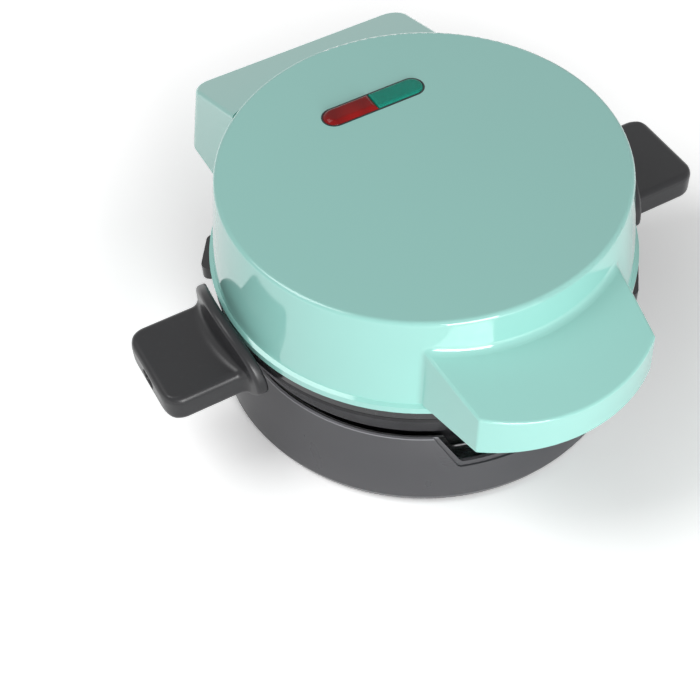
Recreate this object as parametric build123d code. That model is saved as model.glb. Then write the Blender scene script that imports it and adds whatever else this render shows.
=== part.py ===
from build123d import *
import math
import os

# Stuffed waffle maker: two deep waffle plates in a round clam that stands in a bowl base.
# Millimetres, +Z up. The front handle points to -Y, the hinge to +Y, the side handles to +X and -X.

os.makedirs("parts", exist_ok=True)

# The clam's own axis lies a little behind the middle of the footprint,
# because the front handle reaches further out than the hinge housing.
AXIS_BACK = 3.0

# Heights of the main planes, from the table up
FOOT_H = 1.2
BOWL_RIM_Z = 44.0
SHOULDER_RISE = 11.0
BAND_H = 16.5
PARTING = 1.0
RING_H = 6.5
HEM_H = 5.0
LID_WALL_H = 53.0
SHOULDER_Z = BOWL_RIM_Z + SHOULDER_RISE
LOWER_RIM_Z = SHOULDER_Z + BAND_H
UPPER_RIM_Z = LOWER_RIM_Z + PARTING
LID_RIM_Z = UPPER_RIM_Z + RING_H
LID_LEDGE_Z = LID_RIM_Z + HEM_H
LID_TOP_Z = LID_LEDGE_Z + LID_WALL_H

# Walls and clearances
LID_SKIN = 2.7
HOUSING_SKIN = 3.0
BOWL_SKIN = 3.2
PAN_SKIN = 2.5
SHEET = 0.8
LOOSE = 0.3
SNUG = 0.1
PIN_GAP = 0.05

# Radii of the main rounds, built outwards from the waffle pan
PAN_R = 92.0
TUB_GAP = 2.0
SHOULDER_STEP = 8.5
BAND_FLARE = 6.0
HEM_COVER = 1.0
LEDGE_STEP = 2.0
LID_DRAFT = 6.2
BOWL_GAP = 6.0
BOWL_BULGE = 7.0
BOWL_SPREAD = 10.0
TUB_R = PAN_R + PAN_SKIN + TUB_GAP + HOUSING_SKIN
SHOULDER_R = TUB_R + SHOULDER_STEP
LOWER_RIM_R = SHOULDER_R + BAND_FLARE
LID_RIM_R = LOWER_RIM_R + HEM_COVER
LID_WALL_R = LID_RIM_R - LEDGE_STEP
LID_TOP_R = LID_WALL_R - LID_DRAFT
BOWL_RIM_R = TUB_R + BOWL_GAP
BOWL_BULGE_R = BOWL_RIM_R + BOWL_BULGE
BOWL_FOOT_R = BOWL_RIM_R + BOWL_SPREAD

# Hinge axis, across the machine inside the rear housing
HINGE_BEHIND = 15.0
HINGE_DROP = 4.0
HINGE_Y = LID_RIM_R + HINGE_BEHIND
HINGE_Z = LID_RIM_Z - HINGE_DROP
PIN_R = 3.0
KNUCKLE_R = 8.0

# Cutting shapes reach this far, past every piece
FAR = 4 * LID_RIM_R

UP = (Align.CENTER, Align.CENTER, Align.MIN)
UPRIGHT = Plane.XZ


def save(name, shape):
    """Write one named piece in the shared frame."""
    export_step(Pos(0, AXIS_BACK, 0) * shape, "parts/" + name + ".step")


def turned(points, angle=360):
    """A solid turned about Z from an outline of (radius, height) points."""
    outline = UPRIGHT * Polyline(*points, close=True)
    return revolve(make_face(outline), Axis.Z, angle)


def disc(radius, low, high):
    """A plain round disc between two heights."""
    return Pos(0, 0, low) * Cylinder(radius, high - low, align=UP)


def block(x, y, z):
    """A box between three pairs of coordinates."""
    size = (x[1] - x[0], y[1] - y[0], z[1] - z[0])
    middle = ((x[0] + x[1]) / 2, (y[0] + y[1]) / 2, (z[0] + z[1]) / 2)
    return Pos(*middle) * Box(*size)


def rod_x(radius, x, y, z):
    """A round rod along X between two ends."""
    length = x[1] - x[0]
    return Pos((x[0] + x[1]) / 2, y, z) * Rot(0, 90, 0) * Cylinder(radius, length)


def rod_y(radius, x, y, z):
    """A round rod along Y between two ends."""
    length = y[1] - y[0]
    return Pos(x, (y[0] + y[1]) / 2, z) * Rot(90, 0, 0) * Cylinder(radius, length)


def above(y, z, rise):
    """Everything above a plane that passes through (y, z) and climbs by rise per mm of Y."""
    slope = Plane(origin=(0, y, z), x_dir=(1, 0, 0), z_dir=(0, -rise, 1))
    return slope * Box(FAR, FAR, FAR, align=UP)


def around(count, radius, start=0.0):
    """Places for equal pieces set round the axis."""
    turns = [start + k * 360 / count for k in range(count)]
    return [Rot(0, 0, turn) * Pos(radius, 0, 0) for turn in turns]


# Lid wall: a drafted drum with a flat top and a small hem that steps out at the rim
HEM_SLOPE_H = 1.0
LID_EDGE_R = 2.5
lid_drum = turned([
    (0, LID_RIM_Z),
    (LID_RIM_R, LID_RIM_Z),
    (LID_RIM_R, LID_LEDGE_Z - HEM_SLOPE_H),
    (LID_WALL_R, LID_LEDGE_Z),
    (LID_TOP_R, LID_TOP_Z),
    (0, LID_TOP_Z),
])
lid_drum = fillet(lid_drum.edges().sort_by(Axis.Z)[-1], LID_EDGE_R)
lid_hollow = turned([
    (0, LID_RIM_Z - 1),
    (LID_RIM_R - LID_SKIN, LID_RIM_Z - 1),
    (LID_RIM_R - LID_SKIN, LID_LEDGE_Z - HEM_SLOPE_H),
    (LID_WALL_R - LID_SKIN, LID_LEDGE_Z),
    (LID_TOP_R - LID_SKIN, LID_TOP_Z - LID_SKIN),
    (0, LID_TOP_Z - LID_SKIN),
])

# Front handle: a wide lip with straight sides, a bowed front and a top that falls outwards
HANDLE_ROOT_Y = 30.0 - LID_RIM_R
HANDLE_LOW_ROOT_X = 61.0
HANDLE_HIGH_ROOT_X = 54.5
HANDLE_LOW_CORNER_X = 50.5
HANDLE_HIGH_CORNER_X = 48.8
HANDLE_CORNER_Y = -20.2 - LID_RIM_R
HANDLE_FRONT_Y = -37.0 - LID_RIM_R
HANDLE_LOW_Z = LID_RIM_Z + 6.5
HANDLE_TOP_Z = LID_RIM_Z + 31.2
HANDLE_HIGH_Z = HANDLE_TOP_Z + 22.0
HANDLE_RISE = 0.245
HANDLE_CORNER_R = 2.2
HANDLE_INNER_CORNER_R = 1.0
HANDLE_EDGE_R = 1.6
HANDLE_COVE_R = 4.5


def handle_plan(inset, root_x, corner_x):
    """The handle's sharp outline from above, drawn in by an inset."""
    root = root_x - inset
    corner = corner_x - inset
    corner_y = HANDLE_CORNER_Y + inset
    sides = Polyline((-corner, corner_y), (-root, HANDLE_ROOT_Y),
                     (root, HANDLE_ROOT_Y), (corner, corner_y))
    front = ThreePointArc((corner, corner_y), (0, HANDLE_FRONT_Y + inset), (-corner, corner_y))
    return make_face(sides + front)


def handle_block(inset, low):
    """The handle as a solid with drafted sides, round corners and its sloping top."""
    foot = Pos(0, 0, low) * handle_plan(inset, HANDLE_LOW_ROOT_X, HANDLE_LOW_CORNER_X)
    head = Pos(0, 0, HANDLE_HIGH_Z) * handle_plan(inset, HANDLE_HIGH_ROOT_X, HANDLE_HIGH_CORNER_X)
    body = loft([foot, head], ruled=True)
    corner_y = HANDLE_CORNER_Y + inset
    corners = body.edges().filter_by(lambda edge: abs(edge.center().Y - corner_y) < 0.01)
    body = fillet(corners, HANDLE_INNER_CORNER_R if inset > 0 else HANDLE_CORNER_R)
    return body - above(HANDLE_CORNER_Y, HANDLE_TOP_Z - inset, HANDLE_RISE)


front_handle = handle_block(0, HANDLE_LOW_Z)
slope_face = front_handle.faces().sort_by(Axis.Z)[-1]
outer_edges = slope_face.edges().filter_by(lambda edge: edge.center().Y < HANDLE_ROOT_Y - 5)
front_handle = fillet(outer_edges, HANDLE_EDGE_R)
handle_hollow = handle_block(LID_SKIN, HANDLE_LOW_Z - 1) - disc(LID_WALL_R, 0, FAR)


def wall_r(z):
    """Radius of the lid's drafted wall at a height."""
    return LID_WALL_R - LID_DRAFT * (z - LID_LEDGE_Z) / LID_WALL_H


def in_cove(edge, y, z, rise):
    """Whether an edge runs where a sloping top through (y, z) meets the lid's wall."""
    points = [edge.position_at(step / 10) for step in range(1, 10, 2)]
    slope_z = [z + rise * (spot.Y - y) for spot in points]
    on_slope = all(abs(spot.Z - z) < 0.05 for spot, z in zip(points, slope_z))
    return on_slope and all(abs(math.hypot(spot.X, spot.Y) - wall_r(spot.Z)) < 0.05 for spot in points)


# The handle grows out of the lid's wall with a hollow rounding along its top
lid_and_handle = lid_drum + front_handle
handle_slope = (HANDLE_CORNER_Y, HANDLE_TOP_Z, HANDLE_RISE)
root_edges = lid_and_handle.edges().filter_by(lambda edge: in_cove(edge, *handle_slope))
lid_and_handle = fillet(root_edges, HANDLE_COVE_R)

# Rear housing over the hinge: drafted sides, a top that falls to the back, open below
REAR_LOW_Z = HINGE_Z + 1.0
REAR_LOW_HALF_W = 74.0
REAR_LOW_Y = HINGE_Y + 16.0
REAR_HIGH_HALF_W = 62.5
REAR_HIGH_Y = HINGE_Y + 13.0
REAR_TOP_Z = LID_TOP_Z - 23.6
REAR_HIGH_Z = REAR_TOP_Z + 39.0
REAR_RISE = -0.34
REAR_CORNER_R = 12.0
REAR_REACH_IN = 70.0
REAR_START_Y = HINGE_Y - REAR_REACH_IN
REAR_EDGE_R = 2.5


def rear_block(inset):
    """The rear housing as a solid, drawn in by an inset."""
    low_w = 2 * (REAR_LOW_HALF_W - inset)
    high_w = 2 * (REAR_HIGH_HALF_W - inset)
    low_d = REAR_LOW_Y - inset - REAR_START_Y
    high_d = REAR_HIGH_Y - inset - REAR_START_Y
    corner = REAR_CORNER_R - inset
    low_z = REAR_LOW_Z - inset
    low = Pos(0, REAR_START_Y + low_d / 2, low_z) * RectangleRounded(low_w, low_d, corner)
    high = Pos(0, REAR_START_Y + high_d / 2, REAR_HIGH_Z) * RectangleRounded(high_w, high_d, corner)
    body = loft([low, high])
    return body - above(REAR_HIGH_Y, REAR_TOP_Z - inset, REAR_RISE)


rear_shell = rear_block(0)
slope_face = rear_shell.faces().sort_by(Axis.Z)[-1]
rear_shell = fillet(slope_face.edges(), REAR_EDGE_R)
rear_shell = rear_shell - disc(LID_WALL_R - LID_SKIN, REAR_LOW_Z - 5, REAR_HIGH_Z)
rear_shell = rear_shell - disc(LID_RIM_R + LOOSE, REAR_LOW_Z - 5, LID_RIM_Z)
rear_hollow = rear_block(LID_SKIN) - disc(LID_WALL_R, 0, FAR)

# Window for the two indicator lenses, near the hinge
WINDOW_X = 1.6
WINDOW_INSET = 52.6
WINDOW_Y = LID_TOP_R - WINDOW_INSET
WINDOW_L = 61.0
WINDOW_W = 14.5


def pill(length, width, low, high):
    """An upright slot-shaped solid over the indicator window."""
    plan = Pos(WINDOW_X, WINDOW_Y, low) * SlotOverall(length, width)
    return extrude(plan, high - low)


lid_shell = lid_and_handle + rear_shell
lid_shell = lid_shell - lid_hollow - handle_hollow - rear_hollow
lid_shell = lid_shell - pill(WINDOW_L, WINDOW_W, LID_TOP_Z - 10, LID_TOP_Z + 5)
save("lid_shell", lid_shell)

# Plate that closes the underside of the front handle
COVER_T = 2.0
COVER_LIFT = 0.5
cover_low = HANDLE_LOW_Z + COVER_LIFT
cover = handle_block(LID_SKIN + 2 * LOOSE, HANDLE_LOW_Z) & disc(FAR, cover_low, cover_low + COVER_T)
save("front_handle_cover", cover - disc(LID_RIM_R + LOOSE, 0, FAR))

# Dark ring that shows under the lid's hem and holds the upper plate
RING_R = LOWER_RIM_R - 0.5
RING_INNER_R = RING_R - 2.6
RING_LIP_R = RING_INNER_R + 1.0
RING_LIP_Z = LID_RIM_Z + 4.0
ring_top = LID_RIM_Z - LOOSE
save("lid_inner_ring", turned([
    (RING_INNER_R, UPPER_RIM_Z),
    (RING_R, UPPER_RIM_Z),
    (RING_R, ring_top),
    (RING_LIP_R, ring_top),
    (RING_LIP_R, RING_LIP_Z),
    (RING_INNER_R, RING_LIP_Z),
]))

# Waffle plates: round pans with a flat flange and a grid of tapered ridges on the floor
FLANGE_T = 2.0
FLOOR_T = 3.0
UPPER_DEPTH = 12.0
LOWER_DEPTH = 26.5
RIDGE_H = 8.0
RIDGE_FOOT_W = 6.0
RIDGE_TOP_W = 3.6
RIDGE_PITCH = 22.0
RIDGES_A_SIDE = 3
UPPER_FLANGE_R = RING_INNER_R - LOOSE
LOWER_FLANGE_R = LOWER_RIM_R - 3.9
upper_floor_z = UPPER_RIM_Z + UPPER_DEPTH
lower_floor_z = LOWER_RIM_Z - LOWER_DEPTH


def ridge_grid(floor_z, way):
    """Crossed ridges that stand on a floor, upwards or downwards."""
    tip_z = floor_z + way * RIDGE_H
    foot = RIDGE_FOOT_W / 2
    tip = RIDGE_TOP_W / 2
    section = UPRIGHT * Polyline((-foot, floor_z), (foot, floor_z), (tip, tip_z), (-tip, tip_z),
                                 close=True)
    bar = extrude(make_face(section), PAN_R, both=True)
    bars = Part()
    for k in range(-RIDGES_A_SIDE, RIDGES_A_SIDE + 1):
        bars += Pos(k * RIDGE_PITCH, 0, 0) * bar
        bars += Rot(0, 0, 90) * Pos(k * RIDGE_PITCH, 0, 0) * bar
    low = min(floor_z, tip_z)
    return bars & disc(PAN_R, low, low + RIDGE_H)


upper_pan = turned([
    (PAN_R, UPPER_RIM_Z),
    (UPPER_FLANGE_R, UPPER_RIM_Z),
    (UPPER_FLANGE_R, UPPER_RIM_Z + FLANGE_T),
    (PAN_R + PAN_SKIN, UPPER_RIM_Z + FLANGE_T),
    (PAN_R + PAN_SKIN, upper_floor_z + FLOOR_T),
    (0, upper_floor_z + FLOOR_T),
    (0, upper_floor_z),
    (PAN_R, upper_floor_z),
])
save("upper_plate", upper_pan + ridge_grid(upper_floor_z, -1))

lower_pan = turned([
    (PAN_R, LOWER_RIM_Z),
    (LOWER_FLANGE_R, LOWER_RIM_Z),
    (LOWER_FLANGE_R, LOWER_RIM_Z - FLANGE_T),
    (PAN_R + PAN_SKIN, LOWER_RIM_Z - FLANGE_T),
    (PAN_R + PAN_SKIN, lower_floor_z - FLOOR_T),
    (0, lower_floor_z - FLOOR_T),
    (0, lower_floor_z),
    (PAN_R, lower_floor_z),
])
save("lower_plate", lower_pan + ridge_grid(lower_floor_z, 1))

# Tubular heaters: most of a ring against the back of each plate, with two turned-out cold ends
HEATER_R = PAN_R - 34.0
TUBE_R = 4.0
HEATER_SWEEP = 320.0
COLD_END_L = 14.0


def heater(z):
    """A heater ring centred on one height, with its gap towards the hinge."""
    section = UPRIGHT * Pos(HEATER_R, z) * Circle(TUBE_R)
    ring = Rot(0, 0, 90 + (360 - HEATER_SWEEP) / 2) * revolve(section, Axis.Z, HEATER_SWEEP)
    half_gap = math.radians((360 - HEATER_SWEEP) / 2)
    x = HEATER_R * math.sin(half_gap)
    y = HEATER_R * math.cos(half_gap)
    ends = Part()
    for side in (-1, 1):
        ends += rod_y(TUBE_R * 0.8, side * x, (y, y + COLD_END_L), z)
    return ring + ends


save("upper_heater", heater(upper_floor_z + FLOOR_T + TUBE_R + SNUG))
save("lower_heater", heater(lower_floor_z - FLOOR_T - TUBE_R - SNUG))

# Reflectors: bright dished sheets behind the heaters
REFLECTOR_R = PAN_R - 6.0
REFLECTOR_GAP = 2.0
REFLECTOR_LIP = 5.0
upper_mirror_z = upper_floor_z + FLOOR_T + 2 * TUBE_R + REFLECTOR_GAP
lower_mirror_z = lower_floor_z - FLOOR_T - 2 * TUBE_R - REFLECTOR_GAP


def reflector(z, way):
    """A sheet dish whose lip turns towards the plate."""
    return turned([
        (0, z),
        (REFLECTOR_R, z),
        (REFLECTOR_R, z + way * REFLECTOR_LIP),
        (REFLECTOR_R - SHEET, z + way * REFLECTOR_LIP),
        (REFLECTOR_R - SHEET, z + way * SHEET),
        (0, z + way * SHEET),
    ])


save("upper_reflector", reflector(upper_mirror_z, -1))

# Mineral wool mat between the upper reflector and the lid's top
WOOL_R = PAN_R + 6.0
WOOL_T = 11.0
save("lid_insulation", disc(WOOL_R, upper_mirror_z + 1, upper_mirror_z + 1 + WOOL_T))

# Indicator: a thin frame, a red and a green lens, a board and a lamp under each lens
FRAME_W = 0.8
LENS_GAP = 0.2
RED_STAND = 2.0
GREEN_STAND = 1.2
LENS_DEPTH = 4.0
frame_low = LID_TOP_Z - LENS_DEPTH
window_frame = pill(WINDOW_L - SNUG, WINDOW_W - SNUG, frame_low, LID_TOP_Z + 0.2)
frame_hole = pill(WINDOW_L - 2 * FRAME_W, WINDOW_W - 2 * FRAME_W, frame_low - 1, LID_TOP_Z + 2)
save("indicator_frame", window_frame - frame_hole)


def lens(side, stand):
    """Half of the pill, with a chamfered top that stands above the lid."""
    length = WINDOW_L - 2 * FRAME_W - LENS_GAP
    width = WINDOW_W - 2 * FRAME_W - LENS_GAP
    whole = pill(length, width, frame_low, LID_TOP_Z + stand)
    half = whole & block(
        sorted((WINDOW_X + side * LENS_GAP / 2, WINDOW_X + side * WINDOW_L)),
        (WINDOW_Y - WINDOW_W, WINDOW_Y + WINDOW_W),
        (frame_low - 1, LID_TOP_Z + 5),
    )
    rim = half.faces().sort_by(Axis.Z)[-1].edges()
    return chamfer(rim, stand)


save("red_lens", lens(-1, RED_STAND))
save("green_lens", lens(1, GREEN_STAND))

BOARD_DROP = 13.0
BOARD_Z = LID_TOP_Z - BOARD_DROP
BOARD_HALF_L = 36.0
BOARD_HALF_W = 11.0
BOARD_T = 1.6
LAMP_R = 2.5
LAMP_X = 15.0
board = block((WINDOW_X - BOARD_HALF_L, WINDOW_X + BOARD_HALF_L),
              (WINDOW_Y - BOARD_HALF_W, WINDOW_Y + BOARD_HALF_W),
              (BOARD_Z, BOARD_Z + BOARD_T))
save("lamp_board", board)
for name, x in (("red_lamp", WINDOW_X - LAMP_X), ("green_lamp", WINDOW_X + LAMP_X)):
    glass = Pos(x, WINDOW_Y, BOARD_Z + BOARD_T) * Cylinder(LAMP_R, 6.0, align=UP)
    save(name, fillet(glass.edges().sort_by(Axis.Z)[-1], LAMP_R * 0.8))

# Hinge ears of the lid: one plate each side of the bracket, hung from the rear housing's roof
EAR_IN = 38.0
EAR_OUT = 46.0
EAR_HALF_D = 8.0
for name, side in (("lid_hinge_ear_left", -1), ("lid_hinge_ear_right", 1)):
    x = sorted((side * EAR_IN, side * EAR_OUT))
    plate = block(x, (HINGE_Y - EAR_HALF_D, HINGE_Y + EAR_HALF_D), (HINGE_Z, LID_TOP_Z))
    ear = (plate & rear_hollow) + rod_x(KNUCKLE_R, x, HINGE_Y, HINGE_Z)
    save(name, ear - rod_x(PIN_R + PIN_GAP, (x[0] - 1, x[1] + 1), HINGE_Y, HINGE_Z))

# Screws that hold the inner ring into the lid
RING_SCREW_R = PAN_R + 9.0
SCREW_R = 1.8
SCREW_HEAD_R = 3.4
SCREW_HEAD_H = 2.2


def screw(length):
    """A pan-head screw that stands on its tip, head up."""
    shank = Cylinder(SCREW_R, length, align=UP)
    head = Pos(0, 0, length) * Cylinder(SCREW_HEAD_R, SCREW_HEAD_H, align=UP)
    slot = Pos(0, 0, length + SCREW_HEAD_H) * Box(SCREW_HEAD_R * 1.4, 0.8, 1.6)
    return shank + head - slot


lid_screws = Part()
for place in around(4, RING_SCREW_R, 45):
    lid_screws += place * Pos(0, 0, UPPER_RIM_Z + FLANGE_T) * screw(12.0)
save("upper_plate_screws", lid_screws)

# Lower housing: a rim band, a shoulder and a tub that stands inside the bowl
TUB_LOW_Z = BOWL_RIM_Z - 30.9
TUB_WAIST_Z = BOWL_RIM_Z - 11.0
TUB_WAIST_R = TUB_R - 3.5
TUB_FLOOR_R = TUB_R - 11.5
BAND_EDGE = 1.0
REBATE_R = LOWER_FLANGE_R + LOOSE
rebate_z = LOWER_RIM_Z - FLANGE_T
tub_outside = turned([
    (0, TUB_LOW_Z),
    (TUB_FLOOR_R, TUB_LOW_Z),
    (TUB_FLOOR_R + 2, TUB_LOW_Z + 3),
    (TUB_WAIST_R, TUB_WAIST_Z),
    (TUB_R, BOWL_RIM_Z),
    (TUB_R, SHOULDER_Z - 2),
    (SHOULDER_R - 1, SHOULDER_Z - 1),
    (SHOULDER_R, SHOULDER_Z),
    (LOWER_RIM_R, LOWER_RIM_Z - BAND_EDGE),
    (LOWER_RIM_R - BAND_EDGE, LOWER_RIM_Z),
    (0, LOWER_RIM_Z),
])
tub_inside = turned([
    (0, TUB_LOW_Z + HOUSING_SKIN),
    (TUB_FLOOR_R - HOUSING_SKIN, TUB_LOW_Z + HOUSING_SKIN),
    (TUB_WAIST_R - HOUSING_SKIN, TUB_WAIST_Z),
    (TUB_R - HOUSING_SKIN, BOWL_RIM_Z - 2),
    (TUB_R - HOUSING_SKIN, SHOULDER_Z),
    (SHOULDER_R - HOUSING_SKIN, SHOULDER_Z + HOUSING_SKIN),
    (SHOULDER_R - 0.5, rebate_z),
    (REBATE_R, rebate_z),
    (REBATE_R, LOWER_RIM_Z + 1),
    (0, LOWER_RIM_Z + 1),
])

# Rear block of the lower housing that carries the hinge bracket
SEAT_HALF_W = 40.0
SEAT_Y = LOWER_RIM_R + 0.2
SEAT_LOW_Z = HINGE_Z - 18.0
SEAT_HIGH_Z = HINGE_Z - 4.5
SEAT_IN_Y = SHOULDER_R - 18.0
hinge_seat = block((-SEAT_HALF_W, SEAT_HALF_W), (SEAT_IN_Y, SEAT_Y), (SEAT_LOW_Z, SEAT_HIGH_Z))

# Small rest lugs on the shoulder, one front right and one rear left
LUG_PLACES = ((-36.0, LOWER_RIM_R + 3.0, 0.0), (146.0, LOWER_RIM_R + 7.5, 2.0))
LUG_IN_R = SHOULDER_R - 8.0
LUG_HALF_W = 13.0
LUG_Z = (SHOULDER_Z - 0.5, SHOULDER_Z + 8.0)
LUG_CORNER_R = 4.0
lugs = Part()
for turn, reach, lift in LUG_PLACES:
    lug = Pos(0, 0, lift) * block((LUG_IN_R, reach), (-LUG_HALF_W, LUG_HALF_W), LUG_Z)
    lug = fillet(lug.edges().filter_by(Axis.Z).sort_by(Axis.X)[-2:], LUG_CORNER_R)
    lugs += Rot(0, 0, turn) * lug

# Side handle sizes, used for the handles and for the slots in the lower housing
TONGUE_HALF_W = 14.0
TONGUE_Z = (SHOULDER_Z + 7.0, SHOULDER_Z + 9.0)
TONGUE_X = (TUB_R - 2.5, LID_RIM_R + 29.0)

lower_housing = tub_outside + hinge_seat + lugs - tub_inside
for side in (-1, 1):
    x = sorted((side * (TUB_R - 2), side * (LOWER_RIM_R + 4)))
    half = TONGUE_HALF_W + LOOSE
    slot_z = (TONGUE_Z[0] - LOOSE, TONGUE_Z[1] + LOOSE)
    lower_housing -= block(x, (-half, half), slot_z)
SEAT_SCREW_X = 24.0
SEAT_SCREW_Z = HINGE_Z - 11.5
for x in (-SEAT_SCREW_X, SEAT_SCREW_X):
    lower_housing -= rod_y(SCREW_R + SNUG, x, (SEAT_IN_Y, SEAT_Y + 1), SEAT_SCREW_Z)
save("lower_housing", lower_housing)

# Side handles: a rounded block on a curved heat guard that rises beside the lid's hem
GRIP_REACH = 49.0
GRIP_OUT_X = LID_RIM_R + GRIP_REACH
GRIP_HALF_W = 28.0
GRIP_Z = (SHOULDER_Z + 2.0, SHOULDER_Z + 19.0)
GRIP_CORNER_R = 10.0
GRIP_EDGE_R = 4.0
GUARD_GAP = 3.5
GUARD_T = 6.0
GUARD_R = (LID_RIM_R + GUARD_GAP, LID_RIM_R + GUARD_GAP + GUARD_T)
GUARD_HALF_W = 38.0
GUARD_TOP_Z = LID_RIM_Z + 15.0
GUARD_MID_Z = SHOULDER_Z + 11.0
GUARD_LOW_Z = SHOULDER_Z - 1.0
GUARD_EDGE_R = 2.0
SCREW_WELL_L = 12.0
SCREW_WELL_W = 7.4
SCREW_WELL_D = 7.0
LUG_PLATE_T = 2.0
LUG_PLATE_HALF_W = 8.0
LUG_PLATE_Z = (TONGUE_Z[0] - 2.5, TONGUE_Z[1] + 7.5)
grip_mid_z = (GRIP_Z[0] + GRIP_Z[1]) / 2

GRIP_ROOT = 15.0
grip_in_x = GUARD_R[0] - GRIP_ROOT
grip_w = GRIP_OUT_X - grip_in_x
plan = Pos((GRIP_OUT_X + grip_in_x) / 2, 0, GRIP_Z[0]) * RectangleRounded(
    grip_w, 2 * GRIP_HALF_W, GRIP_CORNER_R)
grip = extrude(plan, GRIP_Z[1] - GRIP_Z[0])
grip = fillet(grip.edges().group_by(Axis.Z)[-1], GRIP_EDGE_R)
grip = fillet(grip.edges().group_by(Axis.Z)[0], GRIP_EDGE_R)

# The guard is a slice of a ring, trimmed to an outline of two half ellipses
upper_half = Rectangle(FAR, FAR, align=(Align.CENTER, Align.MIN))
rise = Ellipse(GUARD_HALF_W, GUARD_TOP_Z - GUARD_MID_Z) & upper_half
fall = Ellipse(GUARD_HALF_W, GUARD_MID_Z - GUARD_LOW_Z) - upper_half
guard_prism = extrude(Plane.YZ * Pos(0, GUARD_MID_Z) * (rise + fall), FAR)
guard_ring = turned([
    (GUARD_R[0], GUARD_LOW_Z - 5),
    (GUARD_R[1], GUARD_LOW_Z - 5),
    (GUARD_R[1], GUARD_TOP_Z + 5),
    (GUARD_R[0], GUARD_TOP_Z + 5),
])
guard = guard_ring & guard_prism
guard = fillet(guard.edges(), GUARD_EDGE_R)
handle = (grip - disc(GUARD_R[0] + GUARD_EDGE_R, 0, FAR)) + guard
tongue_slot = block((GUARD_R[0] - 5, TONGUE_X[1] + SNUG),
                    (-TONGUE_HALF_W - SNUG, TONGUE_HALF_W + SNUG),
                    (TONGUE_Z[0] - SNUG, TONGUE_Z[1] + SNUG))
lug_slot = block((GUARD_R[0] - 5, TONGUE_X[1] + SNUG),
                 (-LUG_PLATE_HALF_W - SNUG, LUG_PLATE_HALF_W + SNUG),
                 (LUG_PLATE_Z[0] - SNUG, LUG_PLATE_Z[1] + SNUG))
well_plan = Plane.YZ.offset(GRIP_OUT_X - SCREW_WELL_D) * Pos(0, grip_mid_z) * SlotOverall(
    SCREW_WELL_L, SCREW_WELL_W)
well = extrude(well_plan, SCREW_WELL_D + 1)
screw_hole = rod_x(SCREW_R + SNUG, (TONGUE_X[1], GRIP_OUT_X), 0, grip_mid_z)
handle = handle - tongue_slot - lug_slot - well - screw_hole

# Steel tongue: runs out through the housing wall into the handle and ends in an upright lug
INNER_TAB_Z = (TONGUE_Z[0] - 4.5, TONGUE_Z[1])
tongue = block(TONGUE_X, (-TONGUE_HALF_W, TONGUE_HALF_W), TONGUE_Z)
tongue += block((TONGUE_X[0], TONGUE_X[0] + LUG_PLATE_T), (-TONGUE_HALF_W, TONGUE_HALF_W),
                INNER_TAB_Z)
tongue += block((TONGUE_X[1] - LUG_PLATE_T, TONGUE_X[1]), (-LUG_PLATE_HALF_W, LUG_PLATE_HALF_W),
                LUG_PLATE_Z)
tongue -= rod_x(SCREW_R + SNUG, (TONGUE_X[1] - 8, TONGUE_X[1] + 1), 0, grip_mid_z)

handle_screw_len = GRIP_OUT_X - SCREW_WELL_D - TONGUE_X[1] + LUG_PLATE_T + 1
handle_screw = Pos(TONGUE_X[1] - LUG_PLATE_T - 1, 0, grip_mid_z) * Rot(0, 90, 0) * screw(
    handle_screw_len)

for word, turn in (("right", 0), ("left", 180)):
    place = Rot(0, 0, turn)
    save("side_handle_" + word, place * handle)
    save("side_handle_tongue_" + word, place * tongue)
    save("side_handle_screw_" + word, place * handle_screw)

# Hinge bracket: a foot plate on the rear block, an arm under the hem and a knuckle for the pin
BRACKET_HALF_W = 36.0
BRACKET_FOOT_T = 3.0
bracket_x = (-BRACKET_HALF_W, BRACKET_HALF_W)
bracket = block(bracket_x, (SEAT_Y, SEAT_Y + BRACKET_FOOT_T), (SEAT_LOW_Z, SEAT_HIGH_Z))
bracket += block(bracket_x, (SEAT_Y + BRACKET_FOOT_T, HINGE_Y), (HINGE_Z - KNUCKLE_R, SEAT_HIGH_Z))
bracket += rod_x(KNUCKLE_R, bracket_x, HINGE_Y, HINGE_Z)
bracket -= rod_x(PIN_R + PIN_GAP, (bracket_x[0] - 1, bracket_x[1] + 1), HINGE_Y, HINGE_Z)
for x in (-SEAT_SCREW_X, SEAT_SCREW_X):
    bracket -= rod_y(SCREW_R + SNUG, x, (SEAT_Y - 1, SEAT_Y + BRACKET_FOOT_T + 1), SEAT_SCREW_Z)
save("hinge_bracket", bracket)
save("hinge_pin", rod_x(PIN_R, (-EAR_OUT - 2, EAR_OUT + 2), HINGE_Y, HINGE_Z))
seat_screws = Part()
for x in (-SEAT_SCREW_X, SEAT_SCREW_X):
    turned_screw = Rot(-90, 0, 0) * screw(10.0)
    seat_screws += Pos(x, SEAT_Y + BRACKET_FOOT_T - 10.0, SEAT_SCREW_Z) * turned_screw
save("hinge_bracket_screws", seat_screws)

# Works under the lower plate: thermostat, thermal fuse and terminal block
STAT_R = 9.0
STAT_H = 9.0
lower_back_z = lower_floor_z - FLOOR_T
stat = disc(STAT_R, lower_back_z - STAT_H - SNUG, lower_back_z - SNUG)
stat_blades = block((-7, -5.5), (-3, 3), (lower_back_z - STAT_H - 9, lower_back_z - STAT_H - SNUG))
stat_blades += block((5.5, 7), (-3, 3), (lower_back_z - STAT_H - 9, lower_back_z - STAT_H - SNUG))
FUSE_X = 28.0
FUSE_R = 2.2
fuse = rod_y(FUSE_R, FUSE_X, (-8, 8), lower_mirror_z - 4)
fuse += rod_y(0.5, FUSE_X, (-26, 26), lower_mirror_z - 4)
TERMINAL_Y = PAN_R - 24.0
terminal = block((-20, 20), (TERMINAL_Y - 8, TERMINAL_Y + 8),
                 (TUB_LOW_Z + HOUSING_SKIN, TUB_LOW_Z + HOUSING_SKIN + 10))
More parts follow.
